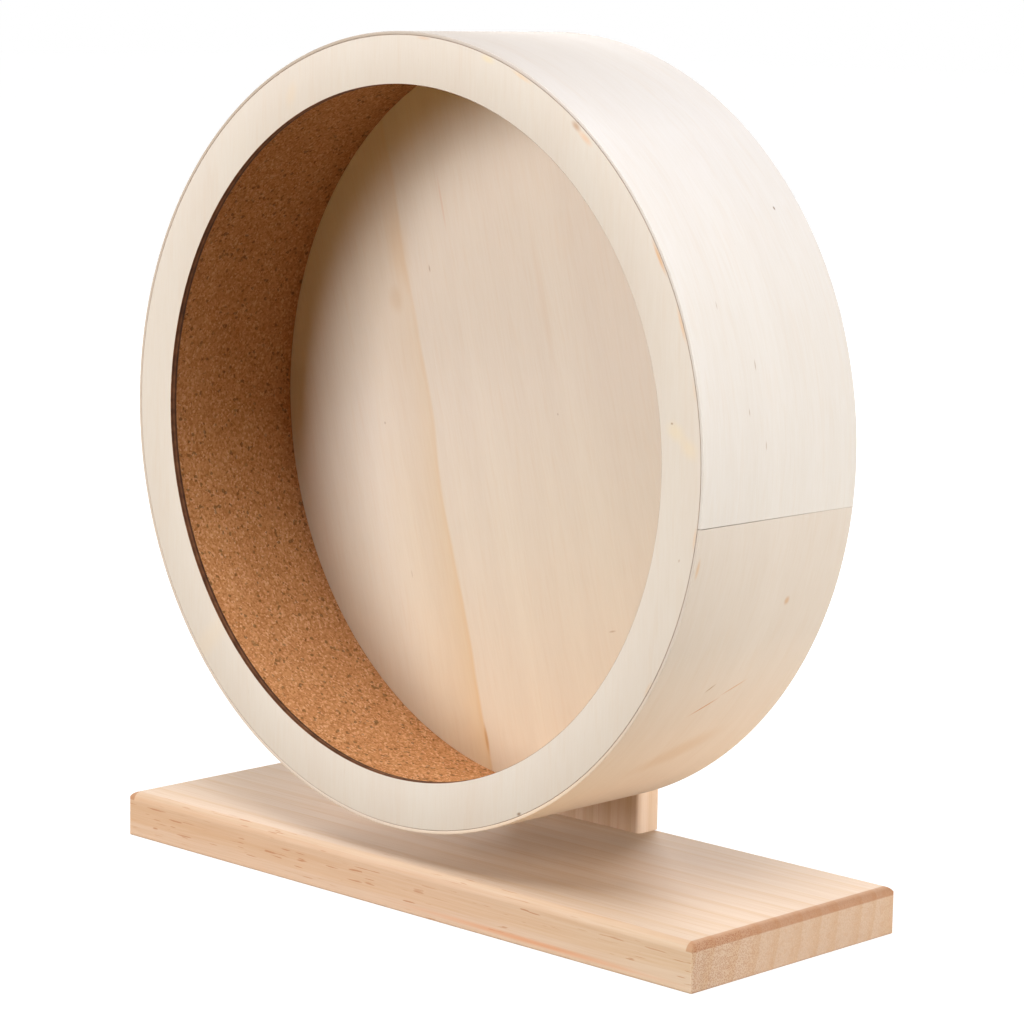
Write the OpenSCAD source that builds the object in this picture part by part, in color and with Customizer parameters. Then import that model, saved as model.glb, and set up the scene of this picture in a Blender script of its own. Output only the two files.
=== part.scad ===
// Rodent exercise wheel: a plywood drum with a cork running track, hung on one ball bearing
// from a post that stands at the back of a solid pine base board.
// Millimetres. The axle lies along Y, the open front of the drum faces -Y and +Z is up.
// The origin is the centre of the base board's underside.

/* [Drum] */
// Outer diameter of the drum, over the wrapped skin
drum_d = 294; // [220:2:400]
// Width of the drum, from the ring's face to the disc's back
drum_w = 83; // [60:1:140]
// Thickness of the plywood strip that is wrapped round the drum
skin_t = 1.2; // [0.8:0.1:2]
// Thickness of the front ring
ring_t = 3; // [2:0.5:6]
// Radial width of the front ring, from its opening to the skin
ring_band = 17.8; // [10:0.2:40]
// Thickness of the back disc
disc_t = 5; // [3:0.5:8]
// Thickness of the cork lining
cork_t = 2; // [1:0.5:4]
// Direction of the skin's butt seam, up from +X
skin_seam = -6.5; // [-180:0.5:180]
// Direction of the cork's butt seam, up from +X
cork_seam = 35; // [-180:0.5:180]
// Width of a butt seam
seam_gap = 0.3; // [0.2:0.1:1]

/* [Base board] */
// Length of the base board
base_l = 300; // [240:1:400]
// Thickness of the base board
base_t = 18; // [15:0.5:27]
// How far the base board reaches out in front of the drum
front_lip = 2.6; // [0:0.1:40]
// Free height between the base board and the drum
drum_gap = 12.5; // [5:0.5:30]
// Radius of the rounded top edges
top_round = 3.5; // [1:0.5:6]
// Radius of the eased upright and lower edges
base_ease = 1; // [0.5:0.1:1.5]

/* [Post] */
// Width of the post
post_w = 70; // [64:1:110]
// Thickness of the post
post_t = 12; // [11:0.5:20]
// Height of the post's top above the axle
post_above = 35; // [20:1:60]
// Radius of the post's two top corners
post_corner = 15; // [6:1:20]
// Radius of the post's eased edges
post_ease = 2.2; // [0.5:0.1:3]

/* [Hub block] */
// Diameter of the hub block
hub_d = 64; // [40:1:100]
// Thickness of the hub block
hub_t = 12; // [9:0.5:14]
// Radius of the hub block's eased back edge
hub_ease = 1.5; // [0.5:0.1:3]
// Diameter of the pocket round the bolt's head
pocket_d = 18; // [16:0.5:19.5]
// Free depth between the bolt's head and the back disc
head_clear = 0.5; // [0.3:0.1:2]

/* [Ball bearing] */
// Outer diameter of the bearing
bearing_od = 22; // [21:0.5:24]
// Bore of the bearing
bearing_id = 8; // [8:0.1:8.4]
// Width of the bearing
bearing_w = 7; // [6.6:0.1:9]
// Diameter of a ball
ball_d = 3.97; // [3.5:0.01:4.1]
// Number of balls
ball_count = 7; // [5:1:7]
// Radial thickness of the inner race
inner_wall = 2; // [1.8:0.05:2.2]
// Radial thickness of the outer race
outer_wall = 1.9; // [1.7:0.05:2.1]
// Thickness of a pressed shield
shield_t = 0.3; // [0.2:0.05:0.4]
// Depth of a shield below the face of the bearing
shield_sink = 0.6; // [0.4:0.05:0.7]
// Thickness of the cage beside a ball
cage_t = 0.35; // [0.2:0.05:0.4]

/* [Axle bolt] */
// Outer diameter of the bolt's thread
bolt_d = 8; // [6:0.1:8]
// Length of the bolt under its head
bolt_l = 30; // [28:1:33]
// Width of the bolt's head across its flats
head_af = 13; // [12:0.5:13]
// Height of the bolt's head
head_h = 5.3; // [4:0.1:6]
// Thickness of the spacer ring behind the bearing
spacer_t = 1; // [0.5:0.1:3]
// Outer diameter of the spacer ring
spacer_d = 11.6; // [10.5:0.1:12]
// Outer diameter of the washer in front of the post
front_washer_d = 16; // [14:0.5:24]
// Thickness of the washer in front of the post
front_washer_t = 1.6; // [1:0.1:3]
// Outer diameter of the washer behind the post
rear_washer_d = 24; // [18:0.5:30]
// Thickness of the washer behind the post
rear_washer_t = 2; // [1:0.1:3]

/* [Cap nut] */
// Width of the cap nut across its flats
nut_af = 13; // [12.5:0.5:17]
// Height of the cap nut's hexagon
nut_hex_h = 7.5; // [6:0.5:8]
// Full height of the cap nut
nut_h = 15; // [14:0.5:20]
// Diameter of the cap nut's dome
dome_d = 12.5; // [12:0.1:12.5]
// Depth of the cap nut's threaded hole
nut_depth = 11; // [9:0.5:12]

/* [Screws and dowels] */
// Diameter of a wood screw
screw_d = 4; // [3.5:0.1:5]
// Length of a wood screw
screw_l = 45; // [35:1:60]
// Diameter of a wood screw's head
screw_head_d = 8; // [7:0.1:9]
// Distance between the two wood screws
screw_pitch = 48; // [40:1:54]
// Diameter of a wooden dowel
dowel_d = 6; // [5:0.5:8]
// Length of a wooden dowel
dowel_l = 30; // [20:1:36]
// Share of a dowel that stands in the base board
dowel_share = 0.42; // [0.3:0.01:0.45]
// Distance between the two dowels
dowel_pitch = 18; // [14:1:24]

/* [Hidden] */

// Clearances, each one on the radius or the depth
bolt_fit = 0.04;      // bolt in the bearing's bore
seat_fit = 0.01;      // bearing in the hub block
hole_fit = 0.2;       // bolt through washers, spacer and post
thread_fit = 0.05;    // bolt's thread in the cap nut
screw_fit = 0.05;     // wood screw in its hole
dowel_fit = 0.05;     // dowel in its hole
ball_fit = 0.055;     // ball in a race's groove and in the cage's window
shield_fit = 0.02;    // shield in the outer race's step
shield_gap = 0.3;     // shield's hole round the inner race
end_room = 1;         // free depth past the end of a screw or a dowel
over = 1;             // how far a cutting solid reaches past a face

// The drum, layer by layer from the outside in
drum_r = drum_d / 2;
panel_r = drum_r - skin_t;
opening_r = panel_r - ring_band;
track_r = panel_r - cork_t;
track_w = drum_w - ring_t - disc_t;

// Places along Y, from the front of the base board to its back. The axle's stack of parts
// sets the gap between the drum and the post, and so how deep the base board is.
stack_l = head_clear + head_h + bearing_w + spacer_t + front_washer_t;
base_w = front_lip + drum_w + stack_l + post_t;
drum_y = -base_w / 2 + front_lip;
hub_y = drum_y + drum_w;
head_y = hub_y + head_clear;
bearing_y = head_y + head_h;
spacer_y = bearing_y + bearing_w;
front_washer_y = spacer_y + spacer_t;
post_y = front_washer_y + front_washer_t;
rear_washer_y = post_y + post_t;
nut_y = rear_washer_y + rear_washer_t;

// Heights
axle_z = base_t + drum_gap + drum_r;
post_h = axle_z + post_above - base_t;

// The bolt and what is drilled for it
bolt_r = min(bolt_d, bearing_id) / 2 - bolt_fit;
bolt_hole_r = bolt_d / 2 + hole_fit;
pocket_depth = head_clear + head_h;
washer_face_h = 0.4;
washer_face_d = 11.6;
bolt_chamfer = 1;

// The bearing, round its own middle plane
bearing_r = bearing_od / 2;
bore_r = bearing_id / 2;
pitch_r = (bearing_r + bore_r) / 2;
inner_land_r = bore_r + inner_wall;
outer_land_r = bearing_r - outer_wall;
groove_r = ball_d / 2 + ball_fit;
shield_step = 0.4;
race_ease = 0.4;
cage_half_t = 0.75;

// Wood screws
screw_head_h = (screw_head_d - screw_d) / 2;
screw_sink = 0.4;
screw_tip = 6;
recess_w = 1;
recess_d = 4.4;
recess_depth = 1.5;
dowel_chamfer = 1;

hex_ratio = 1 / cos(30);
hex_chamfer = 0.6;
sharp_ratio = 0.96;

pine = [0.90, 0.78, 0.64];
pale_ply = [0.93, 0.88, 0.80];
warm_ply = [0.88, 0.79, 0.69];
cork = [0.68, 0.48, 0.30];
beech = [0.85, 0.68, 0.48];
zinc = [0.76, 0.77, 0.78];
bright_steel = [0.84, 0.84, 0.85];
nylon = [0.90, 0.89, 0.85];

$fn = 128;

// Puts a piece on the axle's line, its own Z along the axle towards the post
module on_axle(y) {
    translate([0, y, axle_z]) rotate([-90, 0, 0]) children();
}

// Puts the same piece at two places, either side of the middle of the post
module both_sides(pitch) {
    for (side = [-1, 1]) {
        translate([side * pitch / 2, post_y + post_t / 2, 0]) children();
    }
}

// A rectangle standing on the X axis, with its own radius at the upper and lower corners
module rounded_section(width, height, upper_r, lower_r) {
    translate([-width / 2, lower_r]) square([width, height - upper_r - lower_r]);
    translate([-width / 2 + lower_r, 0]) square([width - 2 * lower_r, lower_r]);
    translate([-width / 2 + upper_r, height - upper_r]) square([width - 2 * upper_r, upper_r]);
    for (side = [-1, 1]) {
        translate([side * (width / 2 - upper_r), height - upper_r]) circle(r = upper_r);
        translate([side * (width / 2 - lower_r), lower_r]) circle(r = lower_r);
    }
}

// A flat ring with a round hole
module ring(outer_r, inner_r, thickness) {
    difference() {
        cylinder(r = outer_r, h = thickness);
        translate([0, 0, -over]) cylinder(r = inner_r, h = thickness + 2 * over);
    }
}

// A strip bent into a tube, its two ends meeting at a butt seam
module bent_strip(outer_r, thickness, width, seam) {
    difference() {
        ring(outer_r, outer_r - thickness, width);
        rotate([0, 0, -seam]) translate([0, -seam_gap / 2, -over]) {
            cube([outer_r + over, seam_gap, width + 2 * over]);
        }
    }
}

// A hexagon bar whose corners are turned off at one end or at both
module hexagon(across_flats, height, lower = true, upper = true) {
    corner_r = across_flats / 2 * hex_ratio;
    face_r = across_flats / 2 * sharp_ratio;
    intersection() {
        cylinder(r = corner_r, h = height, $fn = 6);
        rotate_extrude() polygon([
            [0, 0],
            [lower ? face_r : corner_r + over, 0],
            [corner_r + (lower ? 0 : over), hex_chamfer],
            [corner_r + (upper ? 0 : over), height - hex_chamfer],
            [upper ? face_r : corner_r + over, height],
            [0, height]
        ]);
    }
}

// Solid pine board that carries everything, rounded along its top edges
module base_board() {
    color(pine) difference() {
        intersection() {
            rotate([90, 0, 0]) translate([0, 0, -base_w / 2]) linear_extrude(base_w) {
                rounded_section(base_l, base_t, top_round, base_ease);
            }
            rotate([90, 0, 90]) translate([0, 0, -base_l / 2]) linear_extrude(base_l) {
                rounded_section(base_w, base_t, top_round, base_ease);
            }
            linear_extrude(base_t) translate([0, -base_w / 2]) {
                rounded_section(base_l, base_w, base_ease, base_ease);
            }
        }
        both_sides(screw_pitch) screw_hole();
        both_sides(dowel_pitch) dowel_hole();
    }
}

// Upright pine board at the back, its top corners rounded and its long edges eased
module post() {
    straight_h = post_h - post_corner;
    color(pine) difference() {
        translate([0, post_y + post_t / 2, base_t]) union() {
            linear_extrude(straight_h) translate([0, -post_t / 2]) {
                rounded_section(post_w, post_t, post_ease, post_ease);
            }
            translate([0, 0, straight_h]) {
                rotate([90, 0, 90]) translate([0, 0, -post_w / 2 + post_corner]) {
                    linear_extrude(post_w - 2 * post_corner) top_edge_section();
                }
                for (side = [-1, 1]) {
                    translate([side * (post_w / 2 - post_corner), 0, 0]) top_corner();
                }
            }
        }
        on_axle(post_y - over) cylinder(r = bolt_hole_r, h = post_t + 2 * over);
        both_sides(screw_pitch) screw_hole();
        both_sides(dowel_pitch) dowel_hole();
    }
}

// Section across the post's top edge, above the straight part
module top_edge_section() {
    intersection() {
        translate([0, -post_corner]) {
            rounded_section(post_t, 2 * post_corner, post_ease, post_ease);
        }
        translate([-post_t / 2, -over]) square([post_t, post_corner + over]);
    }
}

// Round end of the post's top edge, turned about Y
module top_corner() {
    rotate([90, 0, 0]) rotate_extrude() intersection() {
        translate([0, -post_t / 2]) {
            rounded_section(2 * post_corner, post_t, post_ease, post_ease);
        }
        translate([0, -post_t / 2]) square([post_corner, post_t]);
    }
}

// Countersunk hole for a wood screw, from the underside up through both boards
module screw_hole() {
    hole_r = screw_d / 2 + screw_fit;
    head_r = screw_head_d / 2 + screw_fit;
    translate([0, 0, -over]) cylinder(r = head_r, h = over + screw_sink);
    translate([0, 0, screw_sink]) cylinder(r1 = head_r, r2 = hole_r, h = screw_head_h);
    cylinder(r = hole_r, h = screw_sink + screw_l + end_room);
}

// Cross-head countersunk wood screws that hold the post on the base board
module post_screws() {
    shank_top = screw_sink + screw_l - screw_tip;
    color(zinc) both_sides(screw_pitch) difference() {
        union() {
            translate([0, 0, screw_sink]) {
                cylinder(r1 = screw_head_d / 2, r2 = screw_d / 2, h = screw_head_h);
            }
            translate([0, 0, screw_sink]) cylinder(d = screw_d, h = screw_l - screw_tip);
            translate([0, 0, shank_top]) cylinder(r1 = screw_d / 2, r2 = 0, h = screw_tip);
        }
        for (turn = [0, 90]) {
            rotate([0, 0, turn]) translate([-recess_d / 2, -recess_w / 2, screw_sink - over]) {
                cube([recess_d, recess_w, recess_depth + over]);
            }
        }
    }
}

// Blind hole for a dowel, half in the base board and half in the post
module dowel_hole() {
    translate([0, 0, base_t - dowel_l * dowel_share - end_room]) {
        cylinder(r = dowel_d / 2 + dowel_fit, h = dowel_l + 2 * end_room);
    }
}

// Glued beech dowels that keep the post from turning on its screws
module post_dowels() {
    dowel_r = dowel_d / 2;
    point_r = dowel_r - dowel_chamfer;
    color(beech) both_sides(dowel_pitch) {
        translate([0, 0, base_t - dowel_l * dowel_share]) rotate_extrude() polygon([
            [0, 0], [point_r, 0], [dowel_r, dowel_chamfer],
            [dowel_r, dowel_l - dowel_chamfer], [point_r, dowel_l], [0, dowel_l]
        ]);
    }
}

// Laser-cut ring that closes the front edge of the drum and leaves the way in
module front_ring() {
    color(pale_ply) on_axle(drum_y) ring(panel_r, opening_r, ring_t);
}

// Laser-cut disc that closes the back of the drum and carries the hub block
module back_disc() {
    color(warm_ply) on_axle(hub_y - disc_t) cylinder(r = panel_r, h = disc_t);
}

// Thin plywood strip, glued round the edges of the ring and the disc
module rim_skin() {
    color(pale_ply) on_axle(drum_y) bent_strip(drum_r, skin_t, drum_w, skin_seam);
}

// Cork strip glued inside the skin, between the ring and the disc: the running track
module cork_lining() {
    color(cork) on_axle(drum_y + ring_t) bent_strip(panel_r, cork_t, track_w, cork_seam);
}

// Turned block glued to the back of the disc, with the pocket for the bolt's head
// in front and the seat for the bearing behind
module hub_block() {
    color(pine) on_axle(hub_y) difference() {
        rotate_extrude() intersection() {
            translate([0, -hub_t]) rounded_section(hub_d, 2 * hub_t, hub_ease, hub_ease);
            square([hub_d / 2, hub_t]);
        }
        translate([0, 0, -over]) cylinder(d = pocket_d, h = hub_t + 2 * over);
        translate([0, 0, pocket_depth]) cylinder(r = bearing_r + seat_fit, h = hub_t);
    }
}

// Half section of a race, with the ball groove and eased outer corners
module race_section(from_r, to_r) {
    difference() {
        translate([from_r, -bearing_w / 2]) square([to_r - from_r, bearing_w]);
        translate([pitch_r, 0]) circle(r = groove_r);
    }
}

// Puts a piece of the bearing in its place, its own origin in the middle of the bearing
module in_bearing() {
    on_axle(bearing_y + bearing_w / 2) children();
}

// Hardened outer race, pressed into the hub block, with a step for each shield
module bearing_outer_race() {
    step_h = shield_sink + shield_t;
    color(bright_steel) in_bearing() rotate_extrude() difference() {
        race_section(outer_land_r, bearing_r);
        for (side = [-1, 1]) {
            translate([0, side * (bearing_w / 2 + over / 2 - step_h / 2)]) {
                square([2 * (outer_land_r + shield_step), step_h + over], center = true);
            }
            translate([bearing_r, side * bearing_w / 2]) rotate([0, 0, 45]) {
                square(race_ease, center = true);
            }
        }
    }
}

// Hardened inner race, clamped on the bolt
module bearing_inner_race() {
    color(bright_steel) in_bearing() rotate_extrude() difference() {
        race_section(bore_r, inner_land_r);
        for (side = [-1, 1]) {
            translate([bore_r, side * bearing_w / 2]) rotate([0, 0, 45]) {
                square(race_ease, center = true);
            }
        }
    }
}

// Pressed steel shield that lies in the outer race and runs free of the inner one
module shield(side) {
    outer_r = outer_land_r + shield_step - shield_fit;
    middle = side * (bearing_w / 2 - shield_sink - shield_t / 2);
    color(zinc) in_bearing() translate([0, 0, middle - shield_t / 2]) {
        ring(outer_r, inner_land_r + shield_gap, shield_t);
    }
}

module bearing_front_shield() {
    shield(-1);
}

module bearing_rear_shield() {
    shield(1);
}

// Puts the same piece at every ball's place
module at_each_ball() {
    for (i = [0 : ball_count - 1]) {
        rotate([0, 0, i * 360 / ball_count]) translate([pitch_r, 0, 0]) children();
    }
}

// Moulded nylon cage: a ring with a round window for each ball
module bearing_cage() {
    cage_w = 2 * (groove_r + cage_t);
    color(nylon) in_bearing() difference() {
        translate([0, 0, -cage_w / 2]) {
            ring(pitch_r + cage_half_t, pitch_r - cage_half_t, cage_w);
        }
        at_each_ball() rotate([0, 90, 0]) cylinder(r = groove_r, h = 4 * cage_half_t, center = true);
    }
}

// Steel balls, each one a solid of its own
module bearing_balls() {
    color(bright_steel) in_bearing() at_each_ball() sphere(d = ball_d);
}

// Hexagon bolt that stays in the hub block's pocket, its shank through bearing and post
module axle_bolt() {
    color(zinc) {
        on_axle(head_y) hexagon(head_af, head_h - washer_face_h, upper = false);
        on_axle(bearing_y - washer_face_h) cylinder(d = washer_face_d, h = washer_face_h);
        on_axle(bearing_y) rotate_extrude() polygon([
            [0, -washer_face_h], [bolt_r, -washer_face_h],
            [bolt_r, bolt_l - bolt_chamfer], [bolt_r - bolt_chamfer, bolt_l], [0, bolt_l]
        ]);
    }
}

// Narrow ring that bears on the inner race only
module axle_spacer() {
    color(zinc) on_axle(spacer_y) ring(spacer_d / 2, bolt_hole_r, spacer_t);
}

module front_washer() {
    color(zinc) on_axle(front_washer_y) ring(front_washer_d / 2, bolt_hole_r, front_washer_t);
}

module rear_washer() {
    color(zinc) on_axle(rear_washer_y) ring(rear_washer_d / 2, bolt_hole_r, rear_washer_t);
}

// Domed nut that covers the end of the bolt
module axle_nut() {
    dome_z = nut_h - dome_d / 2;
    color(bright_steel) on_axle(nut_y) difference() {
        union() {
            hexagon(nut_af, nut_hex_h);
            cylinder(d = dome_d, h = dome_z);
            translate([0, 0, dome_z]) sphere(d = dome_d);
        }
        translate([0, 0, -over]) cylinder(r = bolt_r + thread_fit, h = nut_depth + over);
    }
}

base_board();
post();
post_screws();
post_dowels();
front_ring();
back_disc();
rim_skin();
cork_lining();
hub_block();
bearing_outer_race();
bearing_inner_race();
bearing_front_shield();
bearing_rear_shield();
bearing_cage();
bearing_balls();
axle_bolt();
axle_spacer();
front_washer();
rear_washer();
axle_nut();
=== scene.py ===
# %% [markdown]
# # A wooden running wheel, dressed around its construction
# The wheel is a shallow drum on a ball bearing. A plywood ring stands in front, a thin
# plywood skin is wrapped round the edge, a plywood disc closes the back and a strip of cork
# lines the track. A pine post on a pine board carries the bearing. The construction model
# already holds every piece at its real size, so this lesson adds what the eye needs: the
# finer shapes of the bent strips, the wood, the cork, the metal, the light and the camera.

# %% Load the construction model
import math

import bmesh
import bpy
from mathutils import Matrix, Vector


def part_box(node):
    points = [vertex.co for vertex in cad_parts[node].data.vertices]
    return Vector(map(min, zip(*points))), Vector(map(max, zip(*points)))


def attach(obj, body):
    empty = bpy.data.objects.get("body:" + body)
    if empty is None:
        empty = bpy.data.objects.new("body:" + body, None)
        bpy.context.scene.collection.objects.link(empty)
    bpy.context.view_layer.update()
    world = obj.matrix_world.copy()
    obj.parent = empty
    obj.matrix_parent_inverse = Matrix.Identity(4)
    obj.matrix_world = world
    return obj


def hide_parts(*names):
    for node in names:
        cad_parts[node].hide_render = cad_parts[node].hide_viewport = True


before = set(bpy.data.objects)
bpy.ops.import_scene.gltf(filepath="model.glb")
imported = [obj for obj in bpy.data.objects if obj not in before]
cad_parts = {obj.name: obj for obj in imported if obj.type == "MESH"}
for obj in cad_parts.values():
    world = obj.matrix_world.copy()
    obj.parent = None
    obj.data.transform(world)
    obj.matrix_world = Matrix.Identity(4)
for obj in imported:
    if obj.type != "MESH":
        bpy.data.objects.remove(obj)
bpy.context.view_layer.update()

# %% [markdown]
# ## Sizes read from the model
# The drum's radius, its front edge and the height of its axle are read from the boxes of
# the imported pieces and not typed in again, so the new meshes land exactly where the old ones
# were. A length below is in metres, as everywhere in Blender, unless its comment says mm.

# %% Read the sizes
MM = 0.001
skin_low, skin_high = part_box("rim_skin")
cork_low, cork_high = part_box("cork_lining")
ring_low, ring_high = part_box("front_ring")
disc_low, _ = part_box("back_disc")
base_low, base_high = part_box("base_board")

axle_height = (skin_low.z + skin_high.z) / 2
AXLE = Vector((0, 0, axle_height))
drum_radius = (skin_high.z - skin_low.z) / 2
track_outer = (cork_high.z - cork_low.z) / 2
ring_outer = (ring_high.z - ring_low.z) / 2
skin_thickness = drum_radius - ring_outer
print(f"drum {2 * drum_radius / MM:.0f} mm across, axle {axle_height / MM:.1f} mm up")

# %% [markdown]
# ## One helper for nodes
# Every material and every Geometry Nodes tree below is a handful of nodes with settings and
# links. One function adds any node of any kind, fills its sockets from a dictionary, where a
# value may be a number or another node's output, and hands back the output to go on with.
# A socket is known by its name, or by its place where two have the same name.

# %% Add a node with its settings and links
def socket_of(sockets, key):
    """The socket in that place, or the first one in use with that name."""
    if isinstance(key, int):
        return sockets[key]
    return next(s for s in sockets if s.enabled and key in (s.name, s.identifier))


def add(tree, kind, inputs=None, give=None, ramp=None, **settings):
    """Adds a node and returns its output named give, or its first one in use."""
    node = tree.nodes.new(kind)
    for name, value in settings.items():
        setattr(node, name, value)
    for key, value in (inputs or {}).items():
        socket = socket_of(node.inputs, key)
        if isinstance(value, bpy.types.NodeSocket):
            tree.links.new(value, socket)
        else:
            socket.default_value = value
    if ramp:
        stops = node.color_ramp.elements
        while len(stops) < len(ramp):
            stops.new(1.0)
        for stop, (place, colour) in zip(stops, ramp):
            stop.position = place
            stop.color = linear(colour)
    if not node.outputs:
        return node
    return socket_of(node.outputs, give) if give else next(s for s in node.outputs if s.enabled)


# %% [markdown]
# Colours are picked as sRGB hex values, the way a paint chip is read from a screen, and
# Blender's sockets want linear light. One function does the turning. A second turns a real
# size in millimetres to a pattern's scale, and a third puts what is made into the scene.

# %% Turn colours and sizes into Blender's
def linear(colour):
    """'#RRGGBB' as the linear red, green, blue and alpha that Blender's sockets take."""
    parts = [int(colour[i:i + 2], 16) / 255 for i in (1, 3, 5)]
    return [c / 12.92 if c <= 0.04045 else ((c + 0.055) / 1.055) ** 2.4 for c in parts] + [1.0]


def per(mm):
    """The scale that gives a pattern one repeat in that many millimetres."""
    return 1 / (mm * MM)


def in_scene(name, data):
    """An object of a mesh, a lamp or a camera, in the scene."""
    made = bpy.data.objects.new(name, data)
    bpy.context.scene.collection.objects.link(made)
    return made


print("a fair cream in linear light is", [round(c, 3) for c in linear("#E9DFD4")[:3]])

# %% [markdown]
# ## The camera
# The photograph looks at the wheel from its right, a little above the axle, through a long
# lens: the board's edges hardly draw together. The camera was solved from the ellipses of
# the drum and the corners of the board, and is written here as a place, three angles and a
# focal length.

# %% Place the camera
CAMERA_PLACE = Vector((0.87985, -0.91292, 0.33969))
CAMERA_YAW, CAMERA_PITCH, CAMERA_ROLL = 43.73, 8.76, 1.05   # degrees left, down, anticlockwise
CAMERA_LENS, SENSOR_WIDTH = 119.04, 36                      # mm

camera_data = bpy.data.cameras.new("camera")
camera_data.sensor_width = SENSOR_WIDTH
camera_data.lens = CAMERA_LENS
camera = in_scene("camera", camera_data)
aim = Matrix.Translation(CAMERA_PLACE)
for degrees, axis in ((CAMERA_YAW, "Z"), (90 - CAMERA_PITCH, "X"), (CAMERA_ROLL, "Z")):
    aim = aim @ Matrix.Rotation(math.radians(degrees), 4, axis)
camera.matrix_world = aim
bpy.context.scene.camera = camera
print("camera turns", [round(math.degrees(a), 2) for a in camera.matrix_world.to_euler()])

# %% [markdown]
# ## White room
# The wheel was photographed on a white sweep. The world adds a little warm light to
# everything, and shows plain white to the camera, in glosses and through glass: Blender tells
# a tree which kind of ray is asking, and the answer may differ.

# %% Paint the room
FILL_COLOUR, FILL_STRENGTH = "#FFE9CF", 0.01
WHITE = "#FFFFFF"


def emptied(owner):
    """Turns on the nodes of a world or a material, and hands back its empty tree."""
    owner.use_nodes = True
    owner.node_tree.nodes.clear()
    return owner.node_tree


def shown(tree):
    """1 for a ray that shows the room to the camera, in a gloss or through glass, else 0."""
    path = add(tree, "ShaderNodeLightPath").node.outputs
    rays = add(tree, "ShaderNodeMath", {0: path["Is Camera Ray"], 1: path["Is Glossy Ray"]},
               operation="MAXIMUM")
    return add(tree, "ShaderNodeMath", {0: rays, 1: path["Is Transmission Ray"]},
               operation="MAXIMUM")


def white_room():
    world = bpy.data.worlds.new("white_room")
    tree = emptied(world)
    fill = add(tree, "ShaderNodeBackground",
               {"Color": linear(FILL_COLOUR), "Strength": FILL_STRENGTH})
    white = add(tree, "ShaderNodeBackground", {"Color": linear(WHITE), "Strength": 1.0})
    both = add(tree, "ShaderNodeMixShader", {0: shown(tree), 1: fill, 2: white})
    add(tree, "ShaderNodeOutputWorld", {"Surface": both})
    return world


bpy.context.scene.world = white_room()
bpy.context.scene.view_settings.view_transform = "Standard"
print("world", bpy.context.scene.world.name)

# %% [markdown]
# ## Soft lamps
# The light box in front stands a little to the left and hardly above the axle, so it fills
# the disc and leaves only a soft crescent of shade inside the left rim. A large one high up
# shines down into the drum and picks out the lower cork, the top of the skin and the board.
# The one on the right stands low, lights the skin and the board's end, and reaches in under
# the drum. A weaker one on the left does the same there, and one behind serves the views
# from the back.

# %% Set up the lamps
LAMPS = {
    # degrees right of the front, degrees above level, metres away, width, height, watts
    "light_box_front": (-12, 9, 2.0, 1.1, 0.8, 30),
    "light_box_above": (35, 66, 2.0, 1.1, 1.1, 37),
    "light_box_right": (95, 7, 2.0, 1.1, 0.8, 29),
    "light_box_left": (-95, 10, 2.0, 1.1, 0.8, 20),
    "light_box_behind": (212, 18, 2.2, 1.1, 1.1, 38),
}


def light_box(name, turn, rise, distance, width, height, watts):
    """A flat lamp that faces the axle."""
    data = bpy.data.lights.new(name, "AREA")
    data.shape = "RECTANGLE"
    data.size, data.size_y, data.energy = width, height, watts
    box = in_scene(name, data)
    turned_by = Matrix.Rotation(math.radians(turn), 4, "Z")
    away = turned_by @ Matrix.Rotation(math.radians(-rise), 4, "X") @ Vector((0, -distance, 0))
    box.location = away + AXLE
    box.rotation_euler = away.to_track_quat("Z", "Y").to_euler()
    print(name, "at", [round(c, 2) for c in box.location])


for lamp_name, lamp_settings in LAMPS.items():
    light_box(lamp_name, *lamp_settings)

# %% [markdown]
# ## The floor
# The floor is a plain pale sheet. To the camera it glows almost to full white and adds a
# share of the light that falls on it, so that open floor is white and the shade under the
# board still shows; further out the glow is full, so that no horizon line shows. The light
# that it throws back is another matter, and there it is two sheets. In front of the drum it
# is brown card, because white would wash out the shade in the upper half of the drum. From
# the drum on backwards it is warm white paper, which lights the skin from below and the
# pieces at the back.

# %% Lay the floor
FLOOR_REACH = 12.0
CARD, PAPER = "#957C4A", "#F0E7D6"
CARD_END, PAPER_START = -0.10, 0.0      # metres behind the middle of the board
SHADE_CATCHER = "#8C8C8C"
GLOW_NEAR, GLOW_FAR = 0.86, 1.0
GLOW_RISE, GLOW_FULL = 0.3, 1.1         # metres from the middle of the board


def new_material(name, on_strip=False):
    """An empty material, its tree, and the place on the object, or on the flat strip."""
    material = bpy.data.materials.new(name)
    tree = emptied(material)
    if on_strip:
        place = add(tree, "ShaderNodeAttribute", give="Vector", attribute_name="flat_place")
    else:
        place = add(tree, "ShaderNodeTexCoord", give="Object")
    return material, tree, place


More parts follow.
